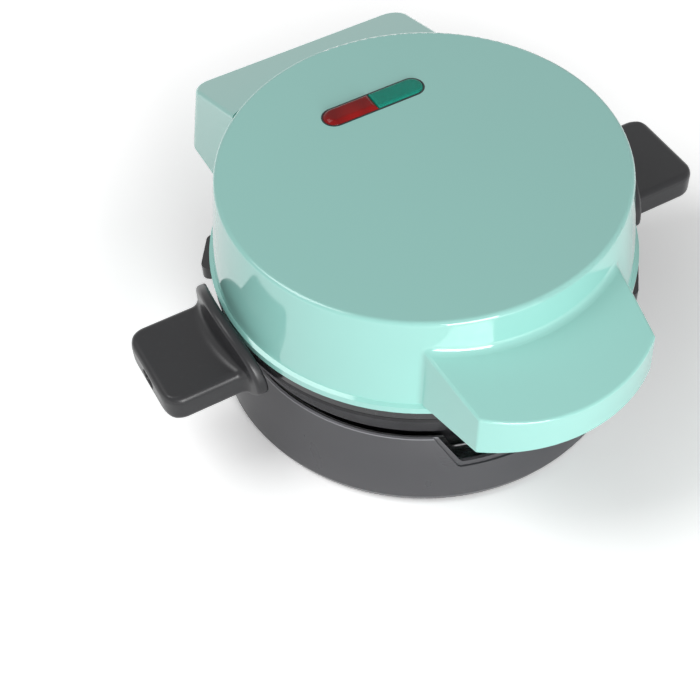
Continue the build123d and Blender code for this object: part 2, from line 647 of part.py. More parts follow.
for k in range(3):
    x = (k - 1) * 12
    terminal -= Pos(x, TERMINAL_Y, TUB_LOW_Z + HOUSING_SKIN + 4) * Cylinder(3.2, 12, align=UP)
mirror_hole = disc(STAT_R + 2, lower_mirror_z - 2, lower_mirror_z + 2)
save("lower_reflector", reflector(lower_mirror_z, 1) - mirror_hole)
save("thermostat", stat + stat_blades)
save("thermal_fuse", fuse)
save("terminal_block", terminal)
plate_screws = Part()
for place in around(4, RING_SCREW_R, 45):
    plate_screws += place * Pos(0, 0, LOWER_RIM_Z - FLANGE_T) * Rot(180, 0, 0) * screw(8.0)
save("lower_plate_screws", plate_screws)

# Base bowl: a grey wall that swells towards the table, open above, with a notch at the front
BOWL_FLOOR_Z = 7.0
BOWL_HEEL_Z = 6.0
BOWL_BULGE_Z = BOWL_RIM_Z - 20.0
COVER_R = BOWL_RIM_R - 2.5
COVER_PLATE_T = 2.0
NOTCH_HALF_W = 48.0
NOTCH_LOW_HALF_W = 37.5
NOTCH_LOW_Z = BOWL_RIM_Z - 15.6
NOTCH_IN_R = BOWL_RIM_R - 35.5
NOTCH_CUT_L = 60.0
NOTCH_BORDER = 2.2
NOTCH_STEP = 1.2
RIM_EDGE = 1.4
NOTCH_CORNER_R = 3.0


def bowl_side(skin, rim_skin):
    """The bowl's curved side as a line from the heel up to the rim."""
    return ThreePointArc((BOWL_FOOT_R - skin, BOWL_HEEL_Z), (BOWL_BULGE_R - skin, BOWL_BULGE_Z),
                         (BOWL_RIM_R - rim_skin, BOWL_RIM_Z))


outer_side = bowl_side(0, 0)
inner_side = bowl_side(BOWL_SKIN, RIM_EDGE)
rim_line = Line((BOWL_RIM_R, BOWL_RIM_Z), (BOWL_RIM_R - RIM_EDGE, BOWL_RIM_Z))
floor_line = Polyline((BOWL_FOOT_R - BOWL_SKIN, BOWL_HEEL_Z), (BOWL_FOOT_R - BOWL_SKIN - 2,
                      BOWL_FLOOR_Z), (0, BOWL_FLOOR_Z), (0, FOOT_H + COVER_PLATE_T + SNUG),
                      (COVER_R + LOOSE, FOOT_H + COVER_PLATE_T + SNUG), (COVER_R + LOOSE, FOOT_H),
                      (BOWL_FOOT_R - 2, FOOT_H), (BOWL_FOOT_R, BOWL_HEEL_Z))
section = make_face(UPRIGHT * (outer_side + rim_line + inner_side + floor_line))
bowl = revolve(section, Axis.Z)


def notch(half_w, low_half_w, low):
    """A tapered notch, open at the top, as a long cutter along Y."""
    high = BOWL_RIM_Z + 4
    shape = make_face(Polyline((-half_w, high), (-low_half_w, low), (low_half_w, low),
                               (half_w, high), close=True))
    corners = shape.vertices().sort_by(Axis.Y)[:2]
    return Pos(0, -NOTCH_IN_R, 0) * extrude(UPRIGHT * fillet(corners, NOTCH_CORNER_R), NOTCH_CUT_L)


through = notch(NOTCH_HALF_W, NOTCH_LOW_HALF_W, NOTCH_LOW_Z)
border = notch(NOTCH_HALF_W + NOTCH_BORDER, NOTCH_LOW_HALF_W + NOTCH_BORDER,
               NOTCH_LOW_Z - NOTCH_BORDER)
skin_core = revolve(make_face(UPRIGHT * (
    bowl_side(NOTCH_STEP, NOTCH_STEP)
    + Polyline((BOWL_RIM_R - NOTCH_STEP, BOWL_RIM_Z), (BOWL_RIM_R - NOTCH_STEP, BOWL_RIM_Z + 10),
               (0, BOWL_RIM_Z + 10), (0, BOWL_HEEL_Z), (BOWL_FOOT_R - NOTCH_STEP, BOWL_HEEL_Z)))),
    Axis.Z)
bowl = bowl - through - (border - skin_core)
save("base_bowl", bowl)

# Bright dish inside the bowl, with a notch of its own whose edge shows in the bowl's notch
DISH_GAP = 3.0
DISH_TAPER = 7.5
DISH_RIM_DROP = 2.0
DISH_NOTCH_SHOW = 3.5
DISH_NOTCH_LOW_SHOW = 1.0
DISH_RIM_R = BOWL_RIM_R - DISH_GAP
DISH_LOW_R = DISH_RIM_R - DISH_TAPER
DISH_RIM_Z = BOWL_RIM_Z - DISH_RIM_DROP
dish_notch = notch(NOTCH_HALF_W - DISH_NOTCH_SHOW, NOTCH_LOW_HALF_W - DISH_NOTCH_LOW_SHOW,
                   NOTCH_LOW_Z - DISH_NOTCH_LOW_SHOW)
heat_dish = turned([
    (0, BOWL_FLOOR_Z),
    (DISH_LOW_R, BOWL_FLOOR_Z),
    (DISH_RIM_R, DISH_RIM_Z),
    (DISH_RIM_R - SHEET, DISH_RIM_Z),
    (DISH_LOW_R - SHEET, BOWL_FLOOR_Z + SHEET),
    (0, BOWL_FLOOR_Z + SHEET),
])
save("base_heat_dish", heat_dish - dish_notch)

# Underside of the base: cover plate, rubber feet, screws, and pads that carry the clam
FOOT_PLACE_R = BOWL_RIM_R - 17.5
FOOT_R = 9.0
PAD_R = 8.0
PAD_PLACE_R = TUB_FLOOR_R - 18.0
save("base_cover_plate", disc(COVER_R, FOOT_H, FOOT_H + COVER_PLATE_T))
corner_words = ("rear_right", "rear_left", "front_left", "front_right")
for word, place in zip(corner_words, around(4, FOOT_PLACE_R, 45)):
    foot = Cylinder(FOOT_R, FOOT_H, align=UP)
    foot = chamfer(foot.edges().sort_by(Axis.Z)[0], 0.6)
    save("base_foot_" + word, place * foot)
for word, place in zip(corner_words, around(4, PAD_PLACE_R, 45)):
    pad_h = TUB_LOW_Z - SNUG - BOWL_FLOOR_Z - SHEET
    pad = Cylinder(PAD_R, pad_h, align=UP)
    save("base_pad_" + word, place * Pos(0, 0, BOWL_FLOOR_Z + SHEET) * pad)
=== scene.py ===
"""A round stuffed waffle maker in mint and grey: a hinged clam of deep waffle plates that
stands in an open bowl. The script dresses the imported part, piece by piece, as it goes together.
"""

import math

import bpy
import numpy as np
from mathutils import Matrix, Vector


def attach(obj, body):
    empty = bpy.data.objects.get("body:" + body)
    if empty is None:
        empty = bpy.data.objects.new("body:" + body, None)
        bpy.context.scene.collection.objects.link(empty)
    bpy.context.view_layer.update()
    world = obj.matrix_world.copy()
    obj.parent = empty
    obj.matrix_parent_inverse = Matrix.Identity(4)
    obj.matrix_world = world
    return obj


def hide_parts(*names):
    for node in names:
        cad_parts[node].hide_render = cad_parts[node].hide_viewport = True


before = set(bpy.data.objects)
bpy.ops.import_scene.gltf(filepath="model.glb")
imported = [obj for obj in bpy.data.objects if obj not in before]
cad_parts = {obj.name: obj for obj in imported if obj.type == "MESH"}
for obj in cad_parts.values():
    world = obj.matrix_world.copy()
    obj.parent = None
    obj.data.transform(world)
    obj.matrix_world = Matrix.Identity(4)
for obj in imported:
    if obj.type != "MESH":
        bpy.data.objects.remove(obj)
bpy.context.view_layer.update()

# The studio: a white table under one soft lamp at the front and one high at the left, in a
# dim white room that looks bright to the camera and in reflections. The camera stands at the
# front left and looks down on the lid.
CAMERA_TURN = -25.9
CAMERA_RISE = 50.82
CAMERA_ROLL = -3.53
CAMERA_PLACE = (-0.26586, -0.44684, 0.6301)
CAMERA_LENS = 72.0
LAMP_AIM = (0.0, 0.0, 0.06)
ROOM_LIGHT = 0.22
TABLE_REACH = 6.0
TABLE_WHITE = 0.82
TABLE_WHITE_SEEN = 1.5
GLOW_FROM = 0.12
GLOW_FULL = 0.6
GLOW = 0.8

scene = bpy.context.scene
scene.view_settings.view_transform = "Standard"

camera_data = bpy.data.cameras.new("studio_camera")
camera_data.sensor_width = 36.0
camera_data.lens = CAMERA_LENS
camera = bpy.data.objects.new("studio_camera", camera_data)
scene.collection.objects.link(camera)
scene.camera = camera
turn = math.radians(CAMERA_TURN)
rise = math.radians(CAMERA_RISE)
roll = math.radians(CAMERA_ROLL)
back = Vector((math.sin(turn) * math.cos(rise), -math.cos(turn) * math.cos(rise), math.sin(rise)))
level_right = Vector((math.cos(turn), math.sin(turn), 0.0))
level_up = back.cross(level_right)
camera_right = level_right * math.cos(roll) + level_up * math.sin(roll)
camera_up = level_up * math.cos(roll) - level_right * math.sin(roll)
camera.matrix_world = Matrix.Translation(CAMERA_PLACE) @ Matrix(
    (camera_right, camera_up, back)).transposed().to_4x4()


def soft_lamp(name, place, size, power):
    """A square area lamp at a place, turned to face the machine."""
    data = bpy.data.lights.new(name, "AREA")
    data.size = size
    data.energy = power
    lamp = bpy.data.objects.new(name, data)
    scene.collection.objects.link(lamp)
    lamp.location = place
    lamp.rotation_mode = "QUATERNION"
    lamp.rotation_quaternion = (Vector(LAMP_AIM) - Vector(place)).to_track_quat("-Z", "Y")


soft_lamp("front_lamp", (-0.2, -1.3, 0.42), 0.55, 14.0)
soft_lamp("top_lamp", (-0.75, 0.3, 1.2), 0.7, 7.2)


def add_node(tree, kind, settings=None, values=None):
    """A shader node with its settings and the values of its unlinked sockets."""
    made = tree.nodes.new(kind)
    for word, setting in (settings or {}).items():
        setattr(made, word, setting)
    for word, value in (values or {}).items():
        made.inputs[word].default_value = value
    return made


world = bpy.data.worlds.new("bright_room")
scene.world = world
world.use_nodes = True
room = world.node_tree
room.nodes.clear()
room_out = add_node(room, "ShaderNodeOutputWorld")
room_mix = add_node(room, "ShaderNodeMixShader")
room_light = add_node(room, "ShaderNodeBackground", None,
                      {"Color": (1, 1, 1, 1), "Strength": ROOM_LIGHT})
room_seen = add_node(room, "ShaderNodeBackground", None, {"Color": (1, 1, 1, 1), "Strength": 1.0})
room_path = add_node(room, "ShaderNodeLightPath")
seen_or_mirrored = add_node(room, "ShaderNodeMath", {"operation": "MAXIMUM"})
seen_or_through = add_node(room, "ShaderNodeMath", {"operation": "MAXIMUM"})
room.links.new(room_path.outputs["Is Camera Ray"], seen_or_mirrored.inputs[0])
room.links.new(room_path.outputs["Is Glossy Ray"], seen_or_mirrored.inputs[1])
room.links.new(seen_or_mirrored.outputs[0], seen_or_through.inputs[0])
room.links.new(room_path.outputs["Is Transmission Ray"], seen_or_through.inputs[1])
room.links.new(seen_or_through.outputs[0], room_mix.inputs["Fac"])
room.links.new(room_light.outputs[0], room_mix.inputs[1])
room.links.new(room_seen.outputs[0], room_mix.inputs[2])
room.links.new(room_mix.outputs[0], room_out.inputs["Surface"])

# To the camera and in reflections the table's paint is whiter, which keeps the shadow, and
# away from the machine it also glows, so that it runs out into white.
floor_mesh = bpy.data.meshes.new("table_top")
floor_mesh.from_pydata([(-TABLE_REACH, -TABLE_REACH, 0), (TABLE_REACH, -TABLE_REACH, 0),
                        (TABLE_REACH, TABLE_REACH, 0), (-TABLE_REACH, TABLE_REACH, 0)],
                       [], [(0, 1, 2, 3)])
floor = bpy.data.objects.new("table_top", floor_mesh)
scene.collection.objects.link(floor)
floor_paint = bpy.data.materials.new("white_table")
floor_paint.use_nodes = True
table = floor_paint.node_tree
table.nodes.clear()
floor_out = add_node(table, "ShaderNodeOutputMaterial")
floor_add = add_node(table, "ShaderNodeAddShader")
floor_matt = add_node(table, "ShaderNodeBsdfDiffuse")
floor_glow = add_node(table, "ShaderNodeEmission")
floor_path = add_node(table, "ShaderNodeLightPath")
floor_place = add_node(table, "ShaderNodeTexCoord")
floor_reach = add_node(table, "ShaderNodeVectorMath", {"operation": "LENGTH"})
floor_seen = add_node(table, "ShaderNodeMath", {"operation": "MAXIMUM"})
floor_level = add_node(table, "ShaderNodeMapRange", None,
                       {"To Min": TABLE_WHITE, "To Max": TABLE_WHITE_SEEN})
far_off = add_node(table, "ShaderNodeMapRange", {"interpolation_type": "SMOOTHSTEP"},
                   {"From Min": GLOW_FROM, "From Max": GLOW_FULL, "To Max": GLOW})
seen_far_off = add_node(table, "ShaderNodeMath", {"operation": "MULTIPLY"})
table.links.new(floor_path.outputs["Is Camera Ray"], floor_seen.inputs[0])
table.links.new(floor_path.outputs["Is Glossy Ray"], floor_seen.inputs[1])
table.links.new(floor_seen.outputs[0], floor_level.inputs["Value"])
table.links.new(floor_level.outputs["Result"], floor_matt.inputs["Color"])
table.links.new(floor_place.outputs["Object"], floor_reach.inputs[0])
table.links.new(floor_reach.outputs["Value"], far_off.inputs["Value"])
table.links.new(far_off.outputs["Result"], seen_far_off.inputs[0])
table.links.new(floor_seen.outputs[0], seen_far_off.inputs[1])
table.links.new(seen_far_off.outputs[0], floor_glow.inputs["Strength"])
table.links.new(floor_matt.outputs[0], floor_add.inputs[0])
table.links.new(floor_glow.outputs[0], floor_add.inputs[1])
table.links.new(floor_add.outputs[0], floor_out.inputs["Surface"])
floor_mesh.materials.append(floor_paint)


# The bowl base: one thick grey moulding that swells towards the table, with a rim,
# and a stepped notch at the front where the lid's handle dips over it.
MM = 0.001
AXIS_Y = 3.0


def new_material(name):
    """An empty node material with its Principled shader and object coordinates."""
    material = bpy.data.materials.new(name)
    material.use_nodes = True
    tree = material.node_tree
    return material, tree, tree.nodes["Principled BSDF"], tree.nodes.new("ShaderNodeTexCoord")


def new_group(name, takes, gives):
    """An empty shader node group with named inputs and outputs, and its two end nodes."""
    tree = bpy.data.node_groups.new(name, "ShaderNodeTree")
    for word, kind, start in takes:
        socket = tree.interface.new_socket(word, in_out="INPUT", socket_type="NodeSocket" + kind)
        if start is not None:
            socket.default_value = start
    for word, kind in gives:
        tree.interface.new_socket(word, in_out="OUTPUT", socket_type="NodeSocket" + kind)
    return tree, tree.nodes.new("NodeGroupInput"), tree.nodes.new("NodeGroupOutput")


def use_group(tree, group, values):
    """A group placed in a material, with the material's own values."""
    made = tree.nodes.new("ShaderNodeGroup")
    made.node_tree = group
    for word, value in values.items():
        made.inputs[word].default_value = value
    return made


def finish_nodes(names, material):
    """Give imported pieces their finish."""
    for name in names:
        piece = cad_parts[name]
        piece.data.materials.clear()
        piece.data.materials.append(material)


# Moulded skin, used by every plastic: broad faint clouds mix two close colours, a fine peel
# gives the height, and wiped streaks move the gloss between a low and a high roughness.
moulded_skin, enter, leave = new_group(
    "moulded_skin",
    [("Vector", "Vector", None), ("Colour", "Color", None), ("Shade", "Color", None),
     ("Clouds", "Float", 0.3), ("Peel Scale", "Float", 900.0),
     ("Gloss Low", "Float", 0.2), ("Gloss High", "Float", 0.3)],
    [("Colour", "Color"), ("Roughness", "Float"), ("Height", "Float")])
link = moulded_skin.links.new
clouds = add_node(moulded_skin, "ShaderNodeTexNoise", None, {"Scale": 9.0, "Detail": 3.0})
amount = add_node(moulded_skin, "ShaderNodeMath", {"operation": "MULTIPLY"})
tint = add_node(moulded_skin, "ShaderNodeMix", {"data_type": "RGBA"})
peel = add_node(moulded_skin, "ShaderNodeTexNoise", None, {"Detail": 2.0})
wipes = add_node(moulded_skin, "ShaderNodeTexNoise", None,
                 {"Scale": 26.0, "Detail": 4.0, "Distortion": 0.6})
gloss = add_node(moulded_skin, "ShaderNodeMapRange", None, {"From Min": 0.3, "From Max": 0.7})
for noise in (clouds, peel, wipes):
    link(enter.outputs["Vector"], noise.inputs["Vector"])
link(enter.outputs["Peel Scale"], peel.inputs["Scale"])
link(clouds.outputs["Fac"], amount.inputs[0])
link(enter.outputs["Clouds"], amount.inputs[1])
link(amount.outputs[0], tint.inputs["Factor"])
link(enter.outputs["Colour"], tint.inputs["A"])
link(enter.outputs["Shade"], tint.inputs["B"])
link(wipes.outputs["Fac"], gloss.inputs["Value"])
link(enter.outputs["Gloss Low"], gloss.inputs["To Min"])
link(enter.outputs["Gloss High"], gloss.inputs["To Max"])
link(tint.outputs["Result"], leave.inputs["Colour"])
link(gloss.outputs["Result"], leave.inputs["Roughness"])
link(peel.outputs["Fac"], leave.inputs["Height"])

# Scuffs, used where hands and the table rub: fine stretched noise, cut off so that only
# its peaks stay, and kept between two heights of the piece.
scuffs, enter, leave = new_group(
    "scuffs",
    [("Vector", "Vector", None), ("Scale", "Float", 300.0), ("Amount", "Float", 0.3),
     ("Low", "Float", 0.0), ("High", "Float", 0.01)],
    [("Mask", "Float")])
link = scuffs.links.new
rubs = add_node(scuffs, "ShaderNodeTexNoise", None, {"Detail": 6.0, "Roughness": 0.65})
cut = add_node(scuffs, "ShaderNodeMapRange", None, {"From Min": 0.56, "From Max": 0.72})
split = add_node(scuffs, "ShaderNodeSeparateXYZ")
rise_mask = add_node(scuffs, "ShaderNodeMapRange", {"interpolation_type": "SMOOTHSTEP"})
joined = add_node(scuffs, "ShaderNodeMath", {"operation": "MULTIPLY"})
scaled = add_node(scuffs, "ShaderNodeMath", {"operation": "MULTIPLY"})
link(enter.outputs["Vector"], rubs.inputs["Vector"])
link(enter.outputs["Scale"], rubs.inputs["Scale"])
link(enter.outputs["Vector"], split.inputs[0])
link(split.outputs["Z"], rise_mask.inputs["Value"])
link(enter.outputs["Low"], rise_mask.inputs["From Min"])
link(enter.outputs["High"], rise_mask.inputs["From Max"])
link(rubs.outputs["Fac"], cut.inputs["Value"])
link(cut.outputs["Result"], joined.inputs[0])
link(rise_mask.outputs["Result"], joined.inputs[1])
link(joined.outputs[0], scaled.inputs[0])
link(enter.outputs["Amount"], scaled.inputs[1])
link(scaled.outputs[0], leave.inputs["Mask"])


def moulded_plastic(name, colour, shade, clouds, peel_scale, peel_height, gloss, worn=None,
                    rub=None):
    """A plastic finish: two colours, the clouds' share, peel size and depth, and a gloss range.
    A worn colour may lie over it where its scuffs are; rub holds two heights and an amount."""
    material, tree, shader, place = new_material(name)
    skin = use_group(tree, moulded_skin, {
        "Colour": (*colour, 1), "Shade": (*shade, 1), "Clouds": clouds, "Peel Scale": peel_scale,
        "Gloss Low": gloss[0], "Gloss High": gloss[1]})
    bump = add_node(tree, "ShaderNodeBump", None, {"Strength": 0.25, "Distance": peel_height})
    tree.links.new(place.outputs["Object"], skin.inputs["Vector"])
    tree.links.new(skin.outputs["Roughness"], shader.inputs["Roughness"])
    tree.links.new(skin.outputs["Height"], bump.inputs["Height"])
    tree.links.new(bump.outputs["Normal"], shader.inputs["Normal"])
    paint = skin.outputs["Colour"]
    if worn:
        low, high, amount = rub
        rubbed = use_group(tree, scuffs, {
            "Scale": 240.0, "Amount": amount, "Low": low, "High": high})
        over = add_node(tree, "ShaderNodeMix", {"data_type": "RGBA"}, {"B": (*worn, 1)})
        tree.links.new(place.outputs["Object"], rubbed.inputs["Vector"])
        tree.links.new(rubbed.outputs["Mask"], over.inputs["Factor"])
        tree.links.new(paint, over.inputs["A"])
        paint = over.outputs["Result"]
    tree.links.new(paint, shader.inputs["Base Color"])
    return material


def shader_of(material):
    """A material's Principled shader, to set one of its constants."""
    return material.node_tree.nodes["Principled BSDF"]


bowl_grey = moulded_plastic(
    "bowl_grey", (0.068, 0.068, 0.074), (0.056, 0.056, 0.062), 0.5, 900.0, 0.00002, (0.26, 0.36),
    worn=(0.2, 0.2, 0.21), rub=(0.012, 0.002, 0.35))
# Painted highlight: the rim is painted a lighter grey along its thin top edge, where the edge would
# catch the light
bowl_tree = bowl_grey.node_tree
bowl_shader = shader_of(bowl_grey)
rim_highlight_split = add_node(bowl_tree, "ShaderNodeSeparateXYZ")
# Painted highlight: this mask picks the rim's top edge by height, and a lighter grey is mixed over it
# there
painted_rim_highlight_mask = add_node(bowl_tree, "ShaderNodeMapRange", {"interpolation_type": "SMOOTHSTEP"},
                    {"From Min": 0.0432, "From Max": 0.0439})
painted_rim_highlight = add_node(bowl_tree, "ShaderNodeMix", {"data_type": "RGBA"}, {"B": (0.3, 0.3, 0.32, 1)})
rim_highlight_place = add_node(bowl_tree, "ShaderNodeTexCoord")
bowl_paint = bowl_shader.inputs["Base Color"].links[0].from_socket
bowl_tree.links.new(rim_highlight_place.outputs["Object"], rim_highlight_split.inputs[0])
bowl_tree.links.new(rim_highlight_split.outputs["Z"], painted_rim_highlight_mask.inputs["Value"])
bowl_tree.links.new(painted_rim_highlight_mask.outputs["Result"], painted_rim_highlight.inputs["Factor"])
bowl_tree.links.new(bowl_paint, painted_rim_highlight.inputs["A"])
bowl_tree.links.new(painted_rim_highlight.outputs["Result"], bowl_shader.inputs["Base Color"])
finish_nodes(["base_bowl"], bowl_grey)

# The heat dish in the bowl: bright aluminium, spun on a lathe, so that fine rings run round it.
turned_grain, enter, leave = new_group(
    "turned_grain",
    [("Vector", "Vector", None), ("Rings", "Float", 900.0), ("Colour", "Color", None),
     ("Shade", "Color", None), ("Gloss Low", "Float", 0.18), ("Gloss High", "Float", 0.34)],
    [("Colour", "Color"), ("Roughness", "Float"), ("Height", "Float")])
link = turned_grain.links.new
split = add_node(turned_grain, "ShaderNodeSeparateXYZ")
shift = add_node(turned_grain, "ShaderNodeMath", {"operation": "SUBTRACT"}, {1: AXIS_Y * MM})
flat = add_node(turned_grain, "ShaderNodeCombineXYZ")
reach_out = add_node(turned_grain, "ShaderNodeVectorMath", {"operation": "LENGTH"})
ring_line = add_node(turned_grain, "ShaderNodeCombineXYZ")
rings = add_node(turned_grain, "ShaderNodeTexNoise", None, {"Detail": 3.0, "Roughness": 0.6})
stains = add_node(turned_grain, "ShaderNodeTexNoise", None, {"Scale": 30.0, "Detail": 4.0})
gloss = add_node(turned_grain, "ShaderNodeMapRange", None, {"From Min": 0.3, "From Max": 0.7})
tint = add_node(turned_grain, "ShaderNodeMix", {"data_type": "RGBA"})
link(enter.outputs["Vector"], split.inputs[0])
link(split.outputs["Y"], shift.inputs[0])
link(split.outputs["X"], flat.inputs["X"])
link(shift.outputs[0], flat.inputs["Y"])
link(flat.outputs[0], reach_out.inputs[0])
link(reach_out.outputs["Value"], ring_line.inputs["X"])
link(split.outputs["Z"], ring_line.inputs["Y"])
link(ring_line.outputs[0], rings.inputs["Vector"])
link(enter.outputs["Rings"], rings.inputs["Scale"])
link(enter.outputs["Vector"], stains.inputs["Vector"])
link(stains.outputs["Fac"], tint.inputs["Factor"])
link(enter.outputs["Colour"], tint.inputs["A"])
link(enter.outputs["Shade"], tint.inputs["B"])
link(rings.outputs["Fac"], gloss.inputs["Value"])
link(enter.outputs["Gloss Low"], gloss.inputs["To Min"])
link(enter.outputs["Gloss High"], gloss.inputs["To Max"])
link(tint.outputs["Result"], leave.inputs["Colour"])
link(gloss.outputs["Result"], leave.inputs["Roughness"])
link(rings.outputs["Fac"], leave.inputs["Height"])


def metal(name, grain, values, height, colour, shade, gloss):
    """A bare metal: one grain group drives its colour, its gloss and a shallow bump."""
    material, tree, shader, place = new_material(name)
    shader.inputs["Metallic"].default_value = 1.0
    made = use_group(tree, grain, {
        "Colour": (*colour, 1), "Shade": (*shade, 1), "Gloss Low": gloss[0], "Gloss High": gloss[1],
        **values})
    bump = add_node(tree, "ShaderNodeBump", None, {"Strength": 0.3, "Distance": height})
    tree.links.new(place.outputs["Object"], made.inputs["Vector"])
    tree.links.new(made.outputs["Colour"], shader.inputs["Base Color"])
    tree.links.new(made.outputs["Roughness"], shader.inputs["Roughness"])
    tree.links.new(made.outputs["Height"], bump.inputs["Height"])
    tree.links.new(bump.outputs["Normal"], shader.inputs["Normal"])
    return material


spun_aluminium = metal("spun_aluminium", turned_grain, {"Rings": 1100.0}, 0.00004,
                       (0.80, 0.80, 0.81), (0.70, 0.70, 0.71), (0.2, 0.38))
finish_nodes(["base_heat_dish", "upper_reflector", "lower_reflector"], spun_aluminium)

# Under the bowl: a dark cover plate, four rubber feet on the table, and four rubber pads
# inside that carry the clam.
rubber_black = moulded_plastic(
    "rubber_black", (0.022, 0.022, 0.022), (0.034, 0.033, 0.032), 0.8, 1800.0, 0.00008, (0.7, 0.85),
    worn=(0.09, 0.09, 0.088), rub=(0.0012, 0.0, 0.6))
corners = ("rear_right", "rear_left", "front_left", "front_right")
finish_nodes(["base_foot_" + word for word in corners] + ["base_pad_" + word for word in corners],
             rubber_black)

# The lower housing: one glossy near-black moulding, from the tub in the bowl up to the rim band.
dark_gloss = moulded_plastic(
    "dark_gloss", (0.018, 0.018, 0.02), (0.013, 0.013, 0.015), 0.5, 800.0, 0.00002, (0.14, 0.22),
    worn=(0.1, 0.1, 0.1), rub=(0.066, 0.0716, 0.25))
finish_nodes(["lower_housing", "lid_inner_ring"], dark_gloss)

# The satin plastic of the handles, of the hinge's parts and of the base's cover plate.
dark_satin = moulded_plastic(
    "dark_satin", (0.021, 0.021, 0.023), (0.016, 0.016, 0.018), 0.5, 2200.0, 0.00003, (0.28, 0.35),
    worn=(0.06, 0.06, 0.063), rub=(0.05, 0.075, 0.1))
shader_of(dark_satin).inputs["Specular IOR Level"].default_value = 0.36
finish_nodes(["hinge_bracket", "lid_hinge_ear_left", "lid_hinge_ear_right", "indicator_frame",
              "base_cover_plate"], dark_satin)

# Steel of the tongues, the screws and the hinge pin: bright zinc with a drawn grain.
drawn_grain, enter, leave = new_group(
    "drawn_grain",
    [("Vector", "Vector", None), ("Stretch", "Vector", None), ("Colour", "Color", None),
     ("Shade", "Color", None), ("Gloss Low", "Float", 0.2), ("Gloss High", "Float", 0.35)],
    [("Colour", "Color"), ("Roughness", "Float"), ("Height", "Float")])
link = drawn_grain.links.new
pull = add_node(drawn_grain, "ShaderNodeVectorMath", {"operation": "MULTIPLY"})
lines = add_node(drawn_grain, "ShaderNodeTexNoise", None, {"Scale": 1.0, "Detail": 3.0})
stains = add_node(drawn_grain, "ShaderNodeTexNoise", None, {"Scale": 90.0, "Detail": 4.0})
gloss = add_node(drawn_grain, "ShaderNodeMapRange", None, {"From Min": 0.3, "From Max": 0.7})
tint = add_node(drawn_grain, "ShaderNodeMix", {"data_type": "RGBA"})
link(enter.outputs["Vector"], pull.inputs[0])
link(enter.outputs["Stretch"], pull.inputs[1])
link(pull.outputs[0], lines.inputs["Vector"])
link(enter.outputs["Vector"], stains.inputs["Vector"])
link(stains.outputs["Fac"], tint.inputs["Factor"])
link(enter.outputs["Colour"], tint.inputs["A"])
link(enter.outputs["Shade"], tint.inputs["B"])
link(lines.outputs["Fac"], gloss.inputs["Value"])
link(enter.outputs["Gloss Low"], gloss.inputs["To Min"])
link(enter.outputs["Gloss High"], gloss.inputs["To Max"])
link(tint.outputs["Result"], leave.inputs["Colour"])
link(gloss.outputs["Result"], leave.inputs["Roughness"])
link(lines.outputs["Fac"], leave.inputs["Height"])

zinc_steel = metal("zinc_steel", drawn_grain, {"Stretch": (60.0, 900.0, 900.0)}, 0.00002,
                   (0.62, 0.62, 0.63), (0.5, 0.5, 0.5), (0.22, 0.36))
finish_nodes(["side_handle_tongue_left", "side_handle_tongue_right", "side_handle_screw_left",
              "side_handle_screw_right", "hinge_pin", "hinge_bracket_screws",
              "upper_plate_screws", "lower_plate_screws"], zinc_steel)

# Side handles: hollow blocks of satin dark plastic on a curved heat guard. Each is one
# moulding; its grip flows into the guard through a hollow rounding, and a screw well
# opens in its end. Sizes are in millimetres from the clam's own axis.
GRIP_OUT = 164.0
GRIP_HALF_W = 28.0
GRIP_HALF_H = 8.5
GRIP_MID_Z = 65.5
GRIP_CORNER = 10.0
GRIP_EDGE = 4.0
GRIP_ROWS = (148.0, 142.0, 137.0)
WELL = (6.0, 3.7, 7.0)
GUARD_OUT = 124.5
GUARD_IN = 118.5
GUARD_HALF_W = 38.0
GUARD_TOP = 94.0
GUARD_MID = 66.0
GUARD_LOW = 54.0
COVE = 8.0
GUARD_LIP = 2.2
QUARTER = 36
CORNER_MARKS = (0.12, 0.5)

quarter = np.arange(QUARTER) / QUARTER
ring_marks = np.concatenate([quarter, 1 - quarter, quarter, 1 - quarter])
ring_y_sign = np.repeat([1.0, -1.0, -1.0, 1.0], QUARTER)
ring_z_sign = np.repeat([1.0, 1.0, -1.0, -1.0], QUARTER)


def box_ring(half_w, half_h, corner):
    """Round-cornered rectangles, one a row: in each quarter the mark runs up the side, then
    round the corner's arc, then along the top. Returns (rows, around, 2)."""
    half_w, half_h, corner = (
        np.atleast_1d(np.asarray(v, float))[:, None] for v in (half_w, half_h, corner))
    start, end = CORNER_MARKS
    up_side = np.clip(ring_marks / start, 0, 1)
    round_it = np.clip((ring_marks - start) / (end - start), 0, 1) * math.pi / 2
    along = np.clip((ring_marks - end) / (1 - end), 0, 1)
    y = (half_w - corner) * (1 - along) + corner * np.cos(round_it)
    z = (half_h - corner) * up_side + corner * np.sin(round_it)
    return np.stack([y * ring_y_sign, z * ring_z_sign], axis=-1)


def loft_mesh(name, rows, first=None, last=None):
    """A closed skin over rows of rings, with a fan at each end to a point; rows is
    (rows, around, 3) in millimetres, and the mesh is in metres with Y moved to the axis."""
    count, around = rows.shape[:2]
    points = rows.reshape(-1, 3)
    index = np.arange(count * around).reshape(count, around)
    after = np.roll(index, -1, axis=1)
    quads = np.stack([index[:-1], index[1:], after[1:], after[:-1]], axis=-1).reshape(-1, 4)
    faces = quads.tolist()
    if first is not None:
        points = np.vstack([points, first])
        tip = np.full(around, len(points) - 1)
        faces += np.stack([tip, index[0], after[0]], axis=-1).tolist()
    if last is not None:
        points = np.vstack([points, last])
        tip = np.full(around, len(points) - 1)
        faces += np.stack([tip, after[-1], index[-1]], axis=-1).tolist()
    mesh = bpy.data.meshes.new(name)
    mesh.from_pydata((points * MM + np.array([0, AXIS_Y * MM, 0])).tolist(), [], faces)
    mesh.update()
    return mesh


def place_piece(name, mesh, material, body, replaced, sharp=35.0):
    """Put a finished mesh in the scene, smooth except at edges sharper than an angle."""
    mesh.materials.append(material)
    mesh.shade_smooth()
    mesh.set_sharp_from_angle(angle=math.radians(sharp))
    piece = bpy.data.objects.new(name, mesh)
    scene.collection.objects.link(piece)
    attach(piece, body)
    if replaced:
        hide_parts(*replaced)
    return piece


